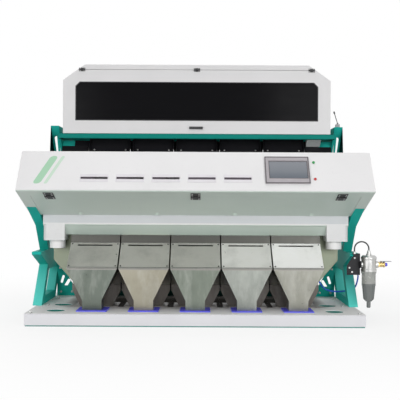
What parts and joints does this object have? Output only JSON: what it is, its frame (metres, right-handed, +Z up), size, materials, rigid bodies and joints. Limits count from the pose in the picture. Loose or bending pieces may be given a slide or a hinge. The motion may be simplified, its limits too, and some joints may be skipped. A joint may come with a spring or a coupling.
{
  "type": "optical colour sorter",
  "caption": "Chute-type optical colour sorter: green frame on a white base, sloped console with screen, hood with dark window, steel hoppers and air filter.",
  "frame": {"origin": "on the floor under the middle of the base's footprint", "axes": "+Z up, front with the console towards -Y, +X to the right seen from the front"},
  "size_m": [2.51, 1.6767, 1.91],
  "materials": {
    "white_paint": "satin powder coat",
    "pale_paint": "satin powder coat",
    "green_paint": "satin enamel",
    "stainless": "brushed stainless sheet",
    "black_paint": "satin black",
    "black_plastic": "moulded",
    "grey_plastic": "moulded",
    "grey_metal": "cast, satin",
    "screen": "glossy display",
    "dark_glass": "black tinted glass",
    "clear_glass": "clear",
    "lamp": "diffusing tube",
    "blue_rubber": "soft gasket",
    "brass": "machined",
    "bowl": "clear polymer bowl",
    "button_green": "moulded",
    "button_red": "moulded"
  },
  "bodies": {
    "machine": {"base_frame": "green_paint", "base_plinth": "white_paint", "side_frame_left": "green_paint", "side_frame_right": "green_paint", "top_frame": "green_paint", "cross_beams": "green_paint", "console_shell": "white_paint", "slot_trims": "grey_plastic", "screen_bezel": "grey_plastic", "screen_glass": "screen", "button_collars": "white_paint", "hinge_mounts": "black_plastic", "dust_duct": "white_paint", "dust_ports": "white_paint", "front_hoppers": "stainless", "rear_hoppers": "stainless", "spout_seals": "blue_rubber", "end_deflectors": "stainless", "hood": "white_paint", "feed_bin": "stainless", "vibrators": "grey_metal", "chutes": "black_paint", "rear_box": "white_paint", "front_cameras": "black_paint", "rear_cameras": "black_paint", "lamp_tubes": "lamp", "view_glasses": "clear_glass", "ejector_bar": "grey_metal", "ejector_valves": "black_plastic", "filter_bracket": "black_paint", "filter_head": "grey_metal", "filter_bowl": "bowl", "filter_cup": "bowl", "valve_body": "brass", "air_tube": "black_plastic", "switch_body": "grey_plastic", "junction_box": "grey_metal", "bolts": "grey_metal"},
    "access_door": {"access_door": "pale_paint", "access_hinge_leaves": "black_plastic"},
    "top_door": {"top_door": "white_paint", "door_window": "dark_glass", "door_handle": "black_plastic", "top_hinge_leaves": "black_plastic"},
    "green_button": {"green_button": "button_green"},
    "red_button": {"red_button": "button_red"},
    "valve_lever": {"valve_lever": "grey_metal"},
    "switch_rod": {"switch_rod": "black_plastic"},
    "feed_gate": {"feed_gate": "stainless", "gate_lever": "black_plastic"},
    "flap_1": {"flap_1": "stainless"},
    "tray_1": {"tray_1": "stainless"},
    "flap_2": {"flap_2": "stainless"},
    "tray_2": {"tray_2": "stainless"},
    "flap_3": {"flap_3": "stainless"},
    "tray_3": {"tray_3": "stainless"},
    "flap_4": {"flap_4": "stainless"},
    "tray_4": {"tray_4": "stainless"},
    "flap_5": {"flap_5": "stainless"},
    "tray_5": {"tray_5": "stainless"}
  },
  "joints": [
    {"name": "access_door_hinge", "type": "hinge", "parent": "machine", "child": "access_door", "pos_m": [0, -0.79156, 0.85139], "axis": [-1, 0, 0], "range_deg": [0, 75]},
    {"name": "top_door_hinge", "type": "hinge", "parent": "machine", "child": "top_door", "pos_m": [0, 0.214, 1.845], "axis": [-1, 0, 0], "range_deg": [0, 80]},
    {"name": "flap_1_hinge", "type": "hinge", "parent": "machine", "child": "flap_1", "pos_m": [-0.694, -0.6339, 0.37656], "axis": [1, 0, 0], "range_deg": [0, 75]},
    {"name": "flap_2_hinge", "type": "hinge", "parent": "machine", "child": "flap_2", "pos_m": [-0.347, -0.6339, 0.37656], "axis": [1, 0, 0], "range_deg": [0, 75]},
    {"name": "flap_3_hinge", "type": "hinge", "parent": "machine", "child": "flap_3", "pos_m": [0, -0.6339, 0.37656], "axis": [1, 0, 0], "range_deg": [0, 75]},
    {"name": "flap_4_hinge", "type": "hinge", "parent": "machine", "child": "flap_4", "pos_m": [0.347, -0.6339, 0.37656], "axis": [1, 0, 0], "range_deg": [0, 75]},
    {"name": "flap_5_hinge", "type": "hinge", "parent": "machine", "child": "flap_5", "pos_m": [0.694, -0.6339, 0.37656], "axis": [1, 0, 0], "range_deg": [0, 75]},
    {"name": "green_button_press", "type": "slide", "parent": "machine", "child": "green_button", "axis": [0, 0.8037, -0.5951], "range_m": [0, 0.003], "stiffness_N_per_m": 500},
    {"name": "red_button_press", "type": "slide", "parent": "machine", "child": "red_button", "axis": [0, 0.8037, -0.5951], "range_m": [0, 0.003], "stiffness_N_per_m": 500},
    {"name": "valve_lever_turn", "type": "hinge", "parent": "machine", "child": "valve_lever", "pos_m": [1.29, -0.433, 0.415], "axis": [0, 0, -1], "range_deg": [0, 90]},
    {"name": "switch_rod_tilt", "type": "hinge", "parent": "machine", "child": "switch_rod", "pos_m": [1.115, 0.33, 1.4443], "axis": [0, 1, 0], "range_deg": [-15, 15], "stiffness_Nm_per_rad": 2},
    {"name": "feed_gate_turn", "type": "hinge", "parent": "machine", "child": "feed_gate", "pos_m": [0, 0.64, 1.545], "axis": [1, 0, 0], "range_deg": [-35, 0]},
    {"name": "tray_1_shake", "type": "slide", "parent": "machine", "child": "tray_1", "axis": [0, 1, 0], "range_m": [-0.0015, 0.0015], "stiffness_N_per_m": 20000},
    {"name": "tray_2_shake", "type": "slide", "parent": "machine", "child": "tray_2", "axis": [0, 1, 0], "range_m": [-0.0015, 0.0015], "stiffness_N_per_m": 20000},
    {"name": "tray_3_shake", "type": "slide", "parent": "machine", "child": "tray_3", "axis": [0, 1, 0], "range_m": [-0.0015, 0.0015], "stiffness_N_per_m": 20000},
    {"name": "tray_4_shake", "type": "slide", "parent": "machine", "child": "tray_4", "axis": [0, 1, 0], "range_m": [-0.0015, 0.0015], "stiffness_N_per_m": 20000},
    {"name": "tray_5_shake", "type": "slide", "parent": "machine", "child": "tray_5", "axis": [0, 1, 0], "range_m": [-0.0015, 0.0015], "stiffness_N_per_m": 20000}
  ]
}
